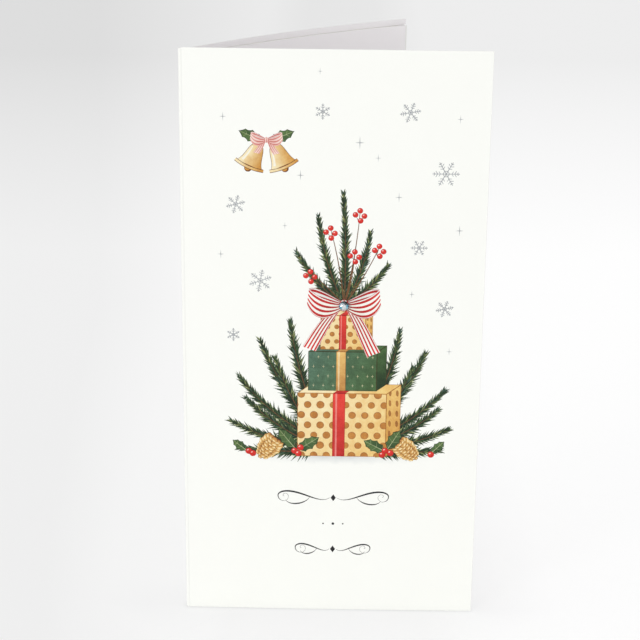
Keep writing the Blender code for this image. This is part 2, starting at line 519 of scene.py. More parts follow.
def fir_sprig(base, tip, bend, needle, hidden=None):
    """A bent stem with needles of this length on both sides, in two layers."""
    base, tip = ends(base, tip)
    run = tip - base
    stem = curve(base, base + run / 2 + aside(run) * bend, tip, count=30)
    paint(taper(stem, needle * 0.9, needle * 0.35), mix(SPRING_GREEN, WHITE, 0.25), 0.45)
    paint(taper(stem, needle * 0.75, needle * 0.16), mix(DEEP_GREEN, NIGHT_GREEN, 0.6), 0.95)
    paint(taper(stem, 0.5, 0.14), BARK, 0.9)
    count = int(np.linalg.norm(np.diff(stem, axis=0), axis=1).sum() / NEEDLE_STEP)
    for layer, i in np.ndindex(2, count):
        share = (i + draw.random()) / count
        at = share * (len(stem) - 1)
        low = min(int(at), len(stem) - 2)
        root = mix(stem[low], stem[low + 1], at - low)
        ahead = bearing(stem[low + 1] - stem[low])
        for hand in (-1, 1):
            lean = (58 - 34 * share) * draw.uniform(0.72, 1.2) - layer * 12
            reach = needle * (1.05 - 0.45 * share ** 2) * draw.uniform(0.72, 1.12) * (1 - 0.16 * layer)
            point = root + step(ahead + hand * lean) * reach
            tone = FIRS[int(draw.random() ** 1.3 * len(FIRS))]
            if hidden is not None and inside(np.array([root, point]), hidden).all():
                continue
            side = step(ahead + hand * lean + 90) * (0.28 - 0.07 * layer)
            belly = mix(root, point, 0.4)
            dark = mix(tone, NIGHT_GREEN, 0.95 - 0.35 * layer)
            pale = mix(tone, DEEP_GREEN, 0.45 - 0.45 * layer)
            paint([root, belly - side, point, belly + side], shade(dark, pale, root, point, 1, 0.9))


# %% [markdown]
# Berries and holly
#
# A berry is a dark disc with a lighter one inside it, lit from the upper left, so a dark rim is left
# as where wet paint dries. A holly leaf has hollow sides between its points, half of it in shade, and
# pale veins.

# %% Berries and holly


def berry(centre, radius):
    """A round red berry with a dark rim, a light and its dark end."""
    centre = np.array(centre, float)
    lit = centre + np.array([-0.25, 0.3]) * radius
    paint(disc(centre, 2 * radius), DARK_RED)
    paint(disc(centre, 1.8 * radius), glow(BRIGHT_RED, RED, lit, 1.1 * radius))
    gloss = centre + np.array([-0.3, 0.36]) * radius
    paint(oval(gloss, 0.6 * radius, 0.38 * radius, 30, 8), WHITE, 0.75)
    low = centre + step(draw.uniform(250, 330)) * 0.45 * radius
    paint(oval(low, 0.3 * radius, 0.24 * radius, count=6), DARK_RUST, 0.9)


HOLLY_SHARES = [(0.0, 0.0), (0.24, 0.82), (0.52, 1.0), (0.78, 0.72), (1.0, 0.0)]


def holly(base, tip, width):
    """A holly leaf, with its points at shares of its length and of its half width."""
    base, tip = ends(base, tip)
    run = tip - base
    side = aside(run) / np.linalg.norm(run) * width / 2
    halves = []
    for hand in (-1, 1):
        points = [base + run * along + side * hand * out for along, out in HOLLY_SHARES]
        hollow = []
        for first, second in zip(points, points[1:]):
            middle = (first + second) / 2
            stem = base + run * ((middle - base) @ run / (run @ run))
            hollow.append(curve(first, mix(middle, stem, 0.42), second, count=6)[:-1])
        halves.append(np.vstack([*hollow, tip]))
    outline = np.vstack([halves[0], halves[1][::-1][1:-1]])
    centre = (base + tip) / 2
    paint(outline, DEEP_GREEN)
    paint(mix(centre, outline, 0.9), shade(FIR_GREEN, mix(FIR_GREEN, MOSS_GREEN, 0.55), base, tip, 0.95))
    paint(mix(centre, halves[0], 0.94), shade(DEEP_GREEN, FIR_GREEN, base, tip, 0.75, 0.35))
    vein = mix(SPRING_GREEN, WHITE, 0.35)
    paint(taper(mix(base, tip, np.linspace(0, 0.94, 6)[:, None]), 0.22, 0.06), vein, 0.85)
    for along, out in HOLLY_SHARES[1:-1]:
        root = base + run * (along - 0.12)
        for hand in (-1, 1):
            paint(taper([root, base + run * along + side * hand * out * 0.82], 0.12, 0.04), vein, 0.6)


# %% [markdown]
# Pine cones
#
# A cone is rows of overlapping scales, laid from the tip back to the base so that each row covers the
# roots of the one before. Each scale is dark at its root, honey-coloured towards its end, and has a
# pale lip.

# %% Pine cones
CONE_ROWS = 8


def pine_cone(base, tip, width):
    """A cone of overlapping scales, its base at the first point."""
    base, tip = ends(base, tip)
    run = tip - base
    beside = aside(run) / np.linalg.norm(run)
    paint(leaf(base - run * 0.04, tip, width * 0.92, 0.38), DARK_RUST)
    for row in range(CONE_ROWS, -1, -1):
        share = row / CONE_ROWS
        reach = width / 2 * math.sqrt(1 - share ** 2.2) * (0.72 + 0.28 * min(1, 3 * share))
        middle = 1.5 if row % 2 else 2.0
        size = width / (2 * middle + 1) * (1.35 - 0.45 * share)
        for k in sorted(range(int(2 * middle) + 1), key=lambda place: -abs(place - middle)):
            across = (k - middle) / middle
            centre = base + run * (share * 0.9 + 0.02) + beside * across * reach * 0.86
            turn = bearing(run) + across * 48
            out = step(turn) * size
            paint(oval(centre, size * 0.95, size * 1.25, turn, 10), DARK_RUST, 0.95)
            paint(oval(centre + out * 0.06, size * 0.8, size * 1.08, turn, 10),
                  shade(RUST, HONEY, centre - out * 0.5, centre + out * 0.42))
            paint(oval(centre + out * 0.3, size * 0.24, size * 0.6, turn, 6), PALE_HONEY, 0.75)


# %% [markdown]
# Parcels
#
# A parcel is a box seen a little from the right and above: its front, its side and its top. Each face
# is painted dark first and then again just inside, with a wash that runs across it.

# %% Parcels
BACKWARDS = np.array([0.30, 0.22])


def parcel(left, bottom, width, height, depth, paper):
    """A wrapped box. Gives its front, its side and the step to its back."""
    light, middle, dark = paper
    back = BACKWARDS * depth
    a, b = np.array([left, bottom]), np.array([left + width, bottom])
    c, d = b + [0, height], a + [0, height]
    front, side, top = [a, b, c, d], [b, b + back, c + back, c], [d, c, c + back, d + back]
    for face, first, second in ((side, middle, dark), (top, light, middle), (front, light, middle)):
        outline = np.array(face)
        paint(outline, mix(dark, DARK_RUST, 0.3))
        paint(shrunk(outline, 0.16), shade(first, second, outline[3], outline[1]))
    return front, side, back


def dotted(box, size, spacing, tone):
    """Round dots on a parcel's front and side, each row half a step on from the last."""
    front, side, back = box
    (left, low), (right, high) = front[0], front[2]
    rim = mix(tone, DARK_RUST, 0.5)
    for row in range(int((high - low) / spacing * 1.2) + 2):
        z = low + (row + 0.1) * spacing * 0.86
        for k in range(-1, int((right - left) / spacing) + 2):
            centre = np.array([left + (k + 0.5 * (row % 2) + 0.3) * spacing, z])
            reach = size * draw.uniform(0.9, 1.08)
            if left - reach < centre[0] < right + reach and low - reach < z < high + reach:
                lit = centre + [-0.3 * reach, 0.3 * reach]
                paint(disc(centre, 2 * reach, 14), rim, 0.85, front)
                wash = glow(mix(tone, AMBER, 0.45), tone, lit, 1.2 * reach, 0.9)
                paint(disc(centre, 1.7 * reach, 12), wash, clip=front)
        for k, rise in ((0.25, 0), (0.75, 0.43)):
            centre = front[1] + back * k + [0, z - low + spacing * rise]
            paint(oval(centre, size * 0.75, size * 1.8, 4, 10), rim, 0.75, side)


def tied(box, centre, width, light, dark):
    """A ribbon up a parcel's front and over its top."""
    front, _, back = box
    low, high = front[0][1], front[2][1]
    a, b = centre - width / 2, centre + width / 2
    for outline in ([(a, low), (b, low), (b, high), (a, high)],
                    [(a, high), (b, high), (b + back[0], high + back[1]), (a + back[0], high + back[1])]):
        paint(outline, dark)
        paint(shrunk(outline, 0.12), shade(light, mix(light, dark, 0.6), outline[3], outline[1]))
    gloss = a + width * 0.28
    paint(band([(gloss, low), (gloss, high)], width * 0.14), mix(light, WHITE, 0.6), 0.6)


# %% [markdown]
# Ribbon and bows
#
# A striped ribbon lies between two curves, one for each edge, and its stripes are the curves part of
# the way between them. A bow is two tails, the dark backs of two loops, their fronts, and the knot. The
# real stone is glued over the knot of the large bow.

# %% Ribbon and bows
LOOP_BACK_SHARES = (((0.05, -0.03), (0.42, -0.12), (0.80, -0.16), (0.98, 0.02)),
                    ((0.05, 0.10), (0.40, 0.30), (0.78, 0.56), (0.93, 0.46)))
LOOP_FRONT_SHARES = (((0.05, -0.10), (0.36, -0.42), (0.78, -0.52), (0.98, 0.02)),
                     ((0.05, 0.04), (0.30, 0.10), (0.70, 0.20), (0.93, 0.46)))


def ribbon(first, second, stripes, tones):
    """A ribbon between two curves, shaded from its start to its end, with stripes along it."""
    light, dark, stripe, dark_stripe = tones
    start, end = (first[0] + second[0]) / 2, (first[-1] + second[-1]) / 2

    def lay(low, high, ink):
        paint(np.vstack([mix(first, second, low), mix(first, second, high)[::-1]]), ink)

    lay(0, 1, mix(dark_stripe, light, 0.35))
    lay(0.025, 0.975, shade(dark, light, start, end))
    for i in range(stripes):
        lay((i + 0.22) / stripes, (i + 0.70) / stripes, shade(dark_stripe, stripe, start, end, 0.95))


def bow(centre, size, stripes, tones, tails):
    """A ribbon bow. Each tail has a side, a reach and a drop."""
    light, dark, stripe, dark_stripe = tones
    back = (mix(light, SHADOW, 0.2), mix(dark, SHADOW, 0.35), mix(stripe, dark_stripe, 0.6), dark_stripe)

    def at(x, z):
        return np.array(centre) + np.array([x, z]) * size

    def lay(hand, edges, tones):
        ribbon(*(curve(*(at(hand * x, z) for x, z in edge)) for edge in edges), stripes, tones)

    for hand, reach, drop in tails:
        half = reach / 2
        inner = ((0.02, -0.02), (half - 0.1, -drop * 0.30), (reach - 0.30, -drop * 0.55),
                 (reach - 0.02, -drop))
        outer = ((0.10, 0.06), (half + 0.22, -drop * 0.22), (reach + 0.02, -drop * 0.50),
                 (reach + 0.34, -drop * 0.90))
        lay(hand, (inner, outer), tones)
    for hand in (-1, 1):
        lay(hand, LOOP_BACK_SHARES, back)
        lay(hand, LOOP_FRONT_SHARES, tones)
    knot = oval(centre, size * 0.27, size * 0.34)
    paint(knot, dark_stripe)
    paint(mix(np.array(centre), knot, 0.92), shade(light, dark, at(-0.1, 0.1), at(0.12, -0.12)))
    for offset in (-0.085, 0.0, 0.085):
        fold = curve(at(offset, -0.15), at(offset * 1.5, 0), at(offset, 0.15), count=6)
        paint(band(fold, size * 0.038), shade(stripe, dark_stripe, at(0, 0.1), at(0, -0.15)), clip=knot)


# %% [markdown]
# Bells, snowflakes and glints
#
# Two small bells hang from a bow of their own. The snowflakes are the traditional six-armed kind, in
# grey lines thinner than a quarter millimetre, and the glints have four points.

# %% Bells, snowflakes and glints
BELL_SHARES = ((0.07, 0), (0.36, 0.06), (0.24, 0.62), (0.52, 0.86))
LINE = 0.24


def bell(top, length, turn):
    """A small bell that hangs from its top, turned by an angle in degrees."""
    def at(x, z):
        return np.array(top) + (step(turn) * x + step(turn - 90) * z) * length

    def line(*shares, count=14):
        return curve(*(at(x, z) for x, z in shares), count=count)

    paint(disc(at(0, 0.96), length * 0.26, 24), DARK_RUST)
    paint(disc(at(-0.02, 0.95), length * 0.2, 20), AMBER)
    body = np.vstack([line(*BELL_SHARES), line(*((-x, z) for x, z in BELL_SHARES[::-1]))])
    paint(body, DARK_RUST)
    paint(mix(at(0, 0.5), body, 0.95), shade(PALE_HONEY, AMBER, at(-0.3, 0.4), at(0.4, 0.5)))
    gloss = line((-0.16, 0.16), (-0.2, 0.5), (-0.3, 0.74), count=8)
    paint(taper(gloss, length * 0.03, length * 0.09), WHITE, 0.7)
    rim = line((-0.54, 0.84), (0, 1.0), (0.54, 0.84), count=10)
    paint(band(rim, length * 0.12), DARK_RUST)
    paint(band(rim, length * 0.08), shade(PALE_HONEY, AMBER, at(-0.5, 0.9), at(0.5, 0.9)))


def snowflake(centre, radius, turn, branches):
    """Six arms, each with pairs of side branches at shares of its length."""
    def stroke(root, run, width):
        paint(band([root, root + run], width), SILVER)

    for ahead in range(turn, turn + 360, 60):
        arm = step(ahead) * radius
        stroke(centre, arm, LINE)
        stroke(centre + arm * 0.24, step(ahead + 120) * radius * 0.24, LINE * 0.8)
        for share, reach in branches:
            for hand in (-58, 58):
                stroke(centre + arm * share, step(ahead + hand) * radius * reach, LINE * 0.85)


def glint(centre, radius, tone=SILVER):
    """A four-pointed glint, taller than it is wide."""
    reach_shares = [0.72, 0.1, 1.0, 0.1] * 2
    paint([np.array(centre) + step(45 * i) * radius * share for i, share in enumerate(reach_shares)],
          tone, 0.9)


# %% [markdown]
# Pen flourishes
#
# Below the picture are two pen flourishes in black. A nib presses hardest in the middle of a stroke, so
# each stroke is a band that swells there, and each side ends in a curl.

# %% Pen flourishes
FINE = 0.10


def flourish(centre, reach, rise, heavy):
    """A flourish with two like halves, round a small diamond."""
    cx, cz = centre
    for hand in (-1, 1):
        def at(x, z):
            return np.array([cx + hand * reach * x, cz + rise * z])

        end, curl = at(1, 0.2), at(1, 0.15) - [hand * 2.2, 0]
        turns = np.linspace(0, 1, 30)[1:]
        angles = (0 if hand > 0 else math.pi) - hand * math.tau * 1.1 * turns
        radii = np.linalg.norm(end - curl) * (1 - turns) ** 0.8 + 0.02
        line = curve(at(0, 0) + [hand * 1.2, 0], at(0.30, -1.1), at(0.62, 1.5), at(1, 1), end, count=36)
        line = np.vstack([line, curl + polar(radii, angles)])
        press = np.sin(math.pi * np.clip(np.linspace(0, 1.5, len(line)), 0, 1)) ** 1.4
        paint(band(line, FINE + (heavy - FINE) * press), BLACK)
        small = curve(at(0.42, 0.1), at(0.50, -0.9), at(0.80, -1.1), at(0.86, -0.35), count=20)
        paint(band(small, FINE + heavy * 0.6 * np.sin(np.linspace(0, math.pi, 20)) ** 1.5), BLACK)
    paint([(cx - 0.9, cz), (cx, cz - 1.3), (cx + 0.9, cz), (cx, cz + 1.3)], BLACK)


# %% [markdown]
# Laying the picture out
#
# Places are in millimetres from the crease and from the bottom edge. The picture is built from the back
# to the front: a soft shadow on the ground, sprigs behind the parcels, the parcels one on another,
# a spray above them, the bow with the stone's place at its knot, and cones and holly along the foot.

# %% The picture's ground and sprigs
gem_low, gem_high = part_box("gem_crystal")
knot = np.array([(gem_low.x + gem_high.x) / 2 - crease[0], (gem_low.z + gem_high.z) / 2]) / MM

GROUND, GROUND_SIZE = (50.5, 58.3), np.array([84, 6.4])
paint(oval(GROUND, *GROUND_SIZE, count=40), glow(SHADOW, WHITE, GROUND, GROUND_SIZE / 2, 0.55, 0.0))

LONG_NEEDLE, SHORT_NEEDLE = 4.4, 3.6
tower = np.array([(39, 59), (68, 59), (72, 63), (72, 84), (64, 98), (42, 98)])
for base, tip, bend in (
        ((42, 62), (15, 71), 0.10), ((42, 66), (18, 87), 0.12), ((42, 72), (25, 100), 0.10),
        ((42, 78), (35, 107), 0.06), ((42, 60), (18, 61), 0.02), ((41, 64), (20.5, 79), 0.10),
        ((42, 69), (30, 94), 0.08), ((64, 62), (89, 69), -0.10), ((64, 66), (87, 83), -0.12),
        ((64, 72), (80, 96), -0.10), ((64, 78), (71.5, 104), -0.06), ((64, 60), (86, 61), -0.02),
        ((66, 64), (85, 76), -0.10), ((64, 69), (76, 91), -0.08)):
    fir_sprig(base, tip, bend, LONG_NEEDLE, tower)
print("strokes so far", len(strokes))

# %% The parcels
WRAP = (PALE_HONEY, HONEY, AMBER)
box = parcel(37.5, 58.5, 30, 23, 16, WRAP)
dotted(box, 1.3, 4.3, TAN)
tied(box, 51.5, 4.2, BRIGHT_RED, DARK_RED)
box = parcel(41.0, 82.5, 23, 14, 11, (BLUE_GREEN, FIR_GREEN, DEEP_GREEN))
for i, j in np.ndindex(7, 4):
    glint((42.8 + 3.3 * i + 1.6 * (j % 2) * (i < 6), 84.4 + 3.4 * j), 0.75, PALE_HONEY)
tied(box, 52.0, 3.2, HONEY, RUST)
box = parcel(45.0, 97.3, 15, 12.0, 8, WRAP)
dotted(box, 0.9, 3.0, TAN)
tied(box, 52.4, 2.4, BRIGHT_RED, DARK_RED)
print("strokes so far", len(strokes))

# %% The spray and the bow
STALK, SPRAY_BERRY, FOOT_BERRY = 0.16, 0.95, 1.15
for tip, bend in (((44, 143), 0.08), ((61, 138), -0.10), ((52, 151), -0.03), ((37, 131), 0.12),
                  ((67, 127), -0.12)):
    fir_sprig(knot, tip, bend, SHORT_NEEDLE)
for tip in ((48, 139), (57.5, 145), (41.5, 124), (64, 133), (56, 131)):
    stem = curve(knot, (knot + tip) / 2 + [1.2, 0], tip, count=12)
    paint(taper(stem, 0.5, 0.2), BARK)
    for offset in ((0, 0.4), (-1.5, -1.0), (1.4, -1.4), (0.2, -3.0)):
        spot = np.array(tip) + offset
        paint(band([stem[-2] - [0, 0.8], spot], STALK), BARK)
        berry(spot, SPRAY_BERRY)
bow(knot, 12.5, 4, (WHITE, mix(CREAM, SHADOW, 0.12), RED, DARK_RED), [(-1, 0.75, 1.30), (1, 0.65, 1.45)])

# %% Cones and holly along the foot
pine_cone((30, 64.5), (24.5, 57.5), 7.4)
pine_cone((72, 63.5), (78.5, 57.8), 6.8)
for base, tip, width in (
        ((37, 61), (31, 68.5), 5.0), ((37.5, 60.5), (45, 65.5), 4.8), ((68, 61), (72.5, 68.5), 4.8),
        ((67.5, 60.5), (60, 64.5), 4.6), ((20.5, 60), (15.5, 64), 3.6), ((83, 60), (87.5, 64.5), 3.6)):
    holly(base, tip, width)
for spot in ((36.6, 60.4), (38.6, 61.6), (37.9, 59.4), (67.4, 60.8), (69.2, 60.0), (66.4, 59.3),
             (21.0, 60.0), (22.4, 59.2), (83.0, 59.6)):
    berry(spot, FOOT_BERRY)

# %% Bells, snowflakes and glints above
bell((24.6, 167.2), 9.2, -24)
bell((29.4, 167.2), 9.2, 24)
holly((26, 168), (18.0, 171.5), 4.2)
holly((28, 168), (36.0, 171.5), 4.2)
PINK = (BLUSH, mix(ROSE, WHITE, 0.3), ROSE, mix(ROSE, DARK_RED, 0.45))
bow((27, 168.5), 5.4, 3, PINK, [(-1, 0.45, 0.85), (1, 0.45, 0.9)])

FULL = [(0.42, 0.22), (0.62, 0.26), (0.82, 0.14)]
OPEN = [(0.45, 0.3), (0.74, 0.2)]
for x, z, radius, turn, branches in (
        (73, 178, 3.4, 10, FULL), (85, 158, 4.4, 0, FULL), (45, 178, 2.6, 30, OPEN),
        (17, 147, 3.2, 15, FULL), (77, 133, 2.8, 0, OPEN), (25, 121, 3.9, 20, FULL),
        (86, 112, 3.0, 12, FULL), (16, 102, 2.3, 30, OPEN)):
    snowflake(np.array([x, z]), radius, turn, branches)
for x, z, radius in (
        (57, 168, 2.2), (63, 163, 1.4), (13, 176, 1.6), (38, 157, 1.8), (89, 176, 1.5), (70, 150, 1.7),
        (90, 139, 1.9), (33, 140, 1.3), (12, 130, 1.6), (75, 117, 1.4), (88, 97, 1.4), (44, 191, 1.2)):
    glint((x, z), radius)

# %% Pen flourishes below
flourish((50, 43), 19.0, 3.0, 0.62)
flourish((50, 23.5), 13.0, 2.4, 0.52)
for offset, size in ((-3.4, 0.55), (0, 0.95), (3.4, 0.55)):
    paint(disc((50 + offset, 33.2), size, 12), BLACK)
print("strokes", len(strokes), "points", sum(len(outline) for outline, _, _ in strokes))

# %% [markdown]
# Printed card
#
# Ink on smooth board dries less evenly than it was laid: it thins in pools, thickens in grains, and
# lets the board's own mottle show through. The drawing stores its colour and how much ink covers each
# spot. Here two noises thin and thicken that ink, and the colour multiplies the board's own.

# %% Printed card finish
GRAIN, POOLS = 2200, 420

printed_card = card_finish("printed_card")
ink, cover = [printed_card.node("ShaderNodeAttribute", {"attribute_name": "ink"}, output=output)
              for output in ("Color", "Alpha")]
grain, pools = printed_card.noise(GRAIN, 2), printed_card.noise(POOLS, 4, 0.6)
lifted = printed_card.blend(1, ink, ink, "SCREEN")
thin = printed_card.blend(cover * (pools * 1.8 - 0.7), ink, lifted)
thick = printed_card.blend(cover * (grain * 0.7 - 0.15), thin, thin, "MULTIPLY")
printed_card.drive("Base Color", printed_card.blend(1, printed_card.base, thick, "MULTIPLY"))

# %% [markdown]
# Putting ink on the sheet
#
# Once the front face is cut along every outline, each triangle lies wholly inside or outside each
# stroke. So the strokes are laid on in order: each finds its triangles and mixes its ink into their
# corners. Corners of neighbouring triangles keep their own colours, which is what makes a sharp edge.

# %% Laying the ink on
NO_INK = (1.0, 1.0, 1.0, 0.0)


def inked(points, triangles):
    """The colour and ink cover at each triangle's corners, after every stroke."""
    corners = points[triangles]
    middles = corners.mean(axis=1)
    order = np.argsort(middles[:, 1])
    heights = middles[order, 1]
    tones = np.full((len(triangles), 3, 4), NO_INK)
    for outline, ink, clip in strokes:
        (left, low), (right, high) = outline.min(axis=0), outline.max(axis=0)
        near = order[np.searchsorted(heights, low):np.searchsorted(heights, high)]
        near = near[(middles[near, 0] > left) & (middles[near, 0] < right)]
        near = near[inside(middles[near], outline)]
        if clip is not None:
            near = near[inside(middles[near], np.array(clip))]
        laid = ink(corners[near].reshape(-1, 2)).reshape(-1, 3, 4)
        cover = laid[..., 3:]
        tones[near, :, :3] = mix(tones[near, :, :3], laid[..., :3], cover)
        tones[near, :, 3:] = mix(tones[near, :, 3:], 1, cover)
    tones[..., :3] = linear(tones[..., :3])
    return tones


# %% [markdown]
# Card panels
#
# A panel is a flat outline, in lengths along the sheet and heights, carried onto its plan. Its two faces
# are filled with triangles, and a narrow bevel and the cut edge are sewn between them, so that the edge
# catches light as real board does. Where a panel runs on into the next one, its edge stays square, and
# the two meet without a step.

# %% Panel tools
BEVEL = 0.06
SHARP_ANGLE = 25
WELD = 1e-7


def linked(name, data):
    """A new object in the scene, for this mesh, lamp or camera."""
    made = bpy.data.objects.new(name, data)
    bpy.context.scene.collection.objects.link(made)
    return made


def smooth(share):
    """A share kept between 0 and 1 and eased at both ends."""
    share = np.clip(share, 0, 1)
    return share ** 2 * (3 - 2 * share)


def stepped(outline, spacing):
    """A closed outline with points added, so that no edge is longer than the spacing across and up."""
    points = []
    for first, second in zip(outline, np.roll(outline, -1, axis=0)):
        count = max(1, math.ceil(max(abs(second - first) / spacing) - JOIN))
        points.extend(mix(first, second, i / count) for i in range(count))
    return np.array(points)


def card_panel(name, outline, square, plan, outside, others=(inner_card, edge_card), spacing=(4, 4),
               half=half_card / MM, pressed=lambda x, z: 0, printed=False, ruled=False):
    """A panel of the sheet. `square` tells by its middle which edges run on into another panel, `pressed`
    how far each point is pressed inwards, and a ruled panel gets an edge along its whole height at every
    step round its curve."""
    bevel = min(BEVEL, half / 2)
    ring = stepped(outline, spacing)
    count = len(ring)
    insets = np.where([square(*middle) for middle in (ring + np.roll(ring, -1, axis=0)) / 2], 0, bevel)
    drawn_in = moved_in(ring, insets)
    (left, low), (right, high) = ring.min(axis=0), ring.max(axis=0)
    grid = np.array([(x, z) for x in np.arange(left + spacing[0], right, spacing[0])
                     for z in np.arange(low + spacing[1], high, spacing[1])])
    grid = grid[inside(grid, moved_in(ring, np.full(count, 0.5 * min(spacing))))]
    rules = [drawn_in[abs(ring[:, 0] - x) < JOIN] for x in np.unique(grid[:, 0])] if ruled else []
    drawing = [stroke[0] for stroke in strokes] if printed else []
    places, faces, slots, tones = [], [], [], []

    def add(points, depth):
        """Carries flat points onto the plan, this far out of the card's middle."""
        start = sum(map(len, places))
        middle, angle = plan(points[:, 0] * MM)
        out = polar((depth - pressed(*points.T)) * MM, angle)
        places.append(np.column_stack([middle + out, points[:, 1] * MM]))
        return start

    for side, cuts in ((1, drawing), (-1, [])):
        points, triangles = triangulated([drawn_in, *rules, *cuts], grid)
        middles = points[triangles].mean(axis=1)
        triangles = triangles[inside(middles, moved_in(drawn_in, np.full(count, JOIN / 10)))]
        start = add(points, half * side)
        faces.extend((triangles[:, ::side] + start).tolist())
        slots.extend([int(side < 0)] * len(triangles))
        tones.append(inked(points, triangles) if cuts else np.full((len(triangles), 3, 4), NO_INK))
    levels = [(drawn_in, half), (ring, half - bevel), (ring, bevel - half), (drawn_in, -half)]
    for upper, lower in zip(levels, levels[1:]):
        a, b = add(*upper), add(*lower)
        for i in range(count):
            j = (i + 1) % count
            faces.append((a + i, b + i, b + j, a + j))
        slots.extend([2] * count)
        tones.append(np.full((count, 4, 4), NO_INK))

    mesh = bpy.data.meshes.new(name)
    mesh.from_pydata(np.vstack(places).tolist(), [], faces)
    for finish in (outside, *others):
        mesh.materials.append(finish.material)
    mesh.polygons.foreach_set("material_index", slots)
    if printed:
        ink = mesh.attributes.new("ink", "FLOAT_COLOR", "CORNER")
        ink.data.foreach_set("color", np.concatenate([t.reshape(-1, 4) for t in tones]).ravel())
    shape = bmesh.new()
    shape.from_mesh(mesh)
    bmesh.ops.remove_doubles(shape, verts=shape.verts, dist=WELD)
    bmesh.ops.recalc_face_normals(shape, faces=shape.faces)
    open_edges = sum(not edge.is_manifold for edge in shape.edges)
    shape.to_mesh(mesh)
    shape.free()
    mesh.shade_smooth()
    mesh.set_sharp_from_angle(angle=math.radians(SHARP_ANGLE))
    print(name, len(mesh.polygons), "faces", open_edges, "open edges")
    return linked(name, mesh)


# %% [markdown]
# The sheet's five panels
#
# The front cover carries the print. The crease strip runs round the crease from one cover to the other,
# and it takes a little of each cover with it. The back cover has two small ears at its outer corners,
# between which the sheet folds over.
# The pocket's mouth faces the spine and has a half-moon thumb notch. Along its top and bottom the pocket
# is pressed down onto strips of clear tape, so it lies close to the back there and stands a little off
# it between them.

# %% Front cover
SEAM = 0.15
reach, front_top, back_top = front_reach / MM, front_high.z / MM, back_high.z / MM


def rectangle(left, low, right, high):
    """The corners of a rectangle, anticlockwise from the lower left."""
    return np.array([(left, low), (right, low), (right, high), (left, high)])


front = card_panel("front_card", rectangle(SEAM, 0, reach, front_top), lambda x, z: x < SEAM + JOIN,
                   front_plan, printed_card, printed=True)
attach(front, "front")
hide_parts("front_cover")

# %% Crease strip
CREASE_STEPS, FOLD_STEPS, RULE_STEP = 16, 12, 3
BLEND_REACH = 0.6
crease_turn = spine_mid * (math.pi - opening)
start, end = -SEAM, crease_turn / MM + SEAM


def strip_plan(length):
    """Round the crease, with the start of a cover at each end."""
    stretch = (length > 0).astype(int) + (length > crease_turn)
    middles, angles = zip(front_plan(-length), spine_plan(length), back_plan(length - crease_turn))
    return np.choose(stretch[:, None], middles), np.choose(stretch, angles)


outline = np.array([(start, 0), (end, 0), (end, back_top), (start, front_top)])
crease_strip = card_panel("crease_card", outline, lambda x, z: x < start + JOIN or x > end - JOIN,
                          strip_plan, crease_card, spacing=((end - start) / CREASE_STEPS, RULE_STEP),
                          ruled=True)
across = polar(BLEND_REACH * MM, 1.5 * math.pi + opening / 2)
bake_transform(crease_strip)
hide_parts("spine_fold")

# %% Back cover
EAR_GAP = 0.3
trim = pocket_low.z / MM
ear = trim - EAR_GAP
length, back_end = back_length / MM, (back_length + fold_radius + half_card) / MM
outline = np.array([(SEAM, 0), (back_end, 0), (back_end, ear), (length, ear), (length, back_top - ear),
                    (back_end, back_top - ear), (back_end, back_top), (SEAM, back_top)])
back_card = card_panel("back_card", outline, lambda x, z: x < SEAM + JOIN
                       or (abs(x - length) < JOIN and ear < z < back_top - ear), back_plan, white_card)
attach(back_card, "back")
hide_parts("back_cover")

# %% Outer fold
fold_turn = math.pi * fold_radius / MM
fold = card_panel("outer_fold_card", rectangle(0, trim, fold_turn, back_top - trim),
                  lambda x, z: x < JOIN or x > fold_turn - JOIN, fold_plan, crease_card,
                  spacing=(fold_turn / FOLD_STEPS, RULE_STEP), ruled=True)
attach(fold, "back")
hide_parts("pocket_fold")

# %% Pocket with its thumb notch
MOUTH, NOTCH = 4.0, 12.0
PRESS, GLUED, FREE = 0.5, 7.0, 16.0
arc = np.linspace(math.pi / 2, -math.pi / 2, 40)
outline = np.vstack([(length, trim), (length, back_top - trim), (MOUTH, back_top - trim),
                     polar(NOTCH, arc) + [MOUTH, back_top / 2], (MOUTH, trim)])


def pressed_down(x, z):
    """How far the pocket is pressed onto the back: fully by the glue, not at all at the outer fold."""
    from_edge = np.minimum(z - trim, back_top - trim - z)
    return PRESS * smooth((FREE - from_edge) / (FREE - GLUED)) * smooth((length - x) / (FREE - GLUED))


pocket = card_panel("pocket_card", outline, lambda x, z: x > length - JOIN,
                    bowed_plan(pocket_inset, math.pi), inner_card, spacing=(4, 2), pressed=pressed_down)
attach(pocket, "back")
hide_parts("pocket_panel")

# %% Tape under the pocket's edges
TAPE_HALF = 0.05
along = np.linspace(0, back_length, 100)
for node in ("top_glue_strip", "bottom_glue_strip"):
    strip_low, strip_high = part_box(node)
    left, right = np.interp([strip_low.x, strip_high.x], back_plan(along)[0][:, 0], along / MM)
    strip = card_panel(node.replace("glue_strip", "tape"),
                       rectangle(left, strip_low.z / MM, right, strip_high.z / MM), lambda x, z: False,
                       bowed_plan(half_card + 2 * TAPE_HALF * MM), tape, (tape, tape), half=TAPE_HALF)
    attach(strip, "back")
    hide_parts(node)

# %% [markdown]
# The stone
#
# A flat-backed crystal 3.4 mm across sits on the bow's knot. It has three parts: the cut crystal, the
# mirror foil behind it that sends the light back, and the drop of glue that holds it. Its facets come
# from geometry: rings of corners, each turned against the next, and the hull round them. A cut stone
# sparkles because neighbouring facets look different ways, so one is bright where the next is dark.
# Under a soft sky that contrast is lost, so it is painted: each facet's colour is the coating's blue with a
# painted reflection, a white table, a crown with blue and dark facets between white ones, and a dark girdle
# of painted shade.

# %% Stone shape
FACETS = 8

# For each ring: its share of the width and of the height, its corners for each facet, and its turn
CUT_SHARES = ((1.0, 0.0, 2, 0), (1.0, 0.17, 2, 0), (0.86, 0.60, 1, 0.5), (0.66, 0.86, 1, 0),
              (0.42, 1.0, 1, 0.5))
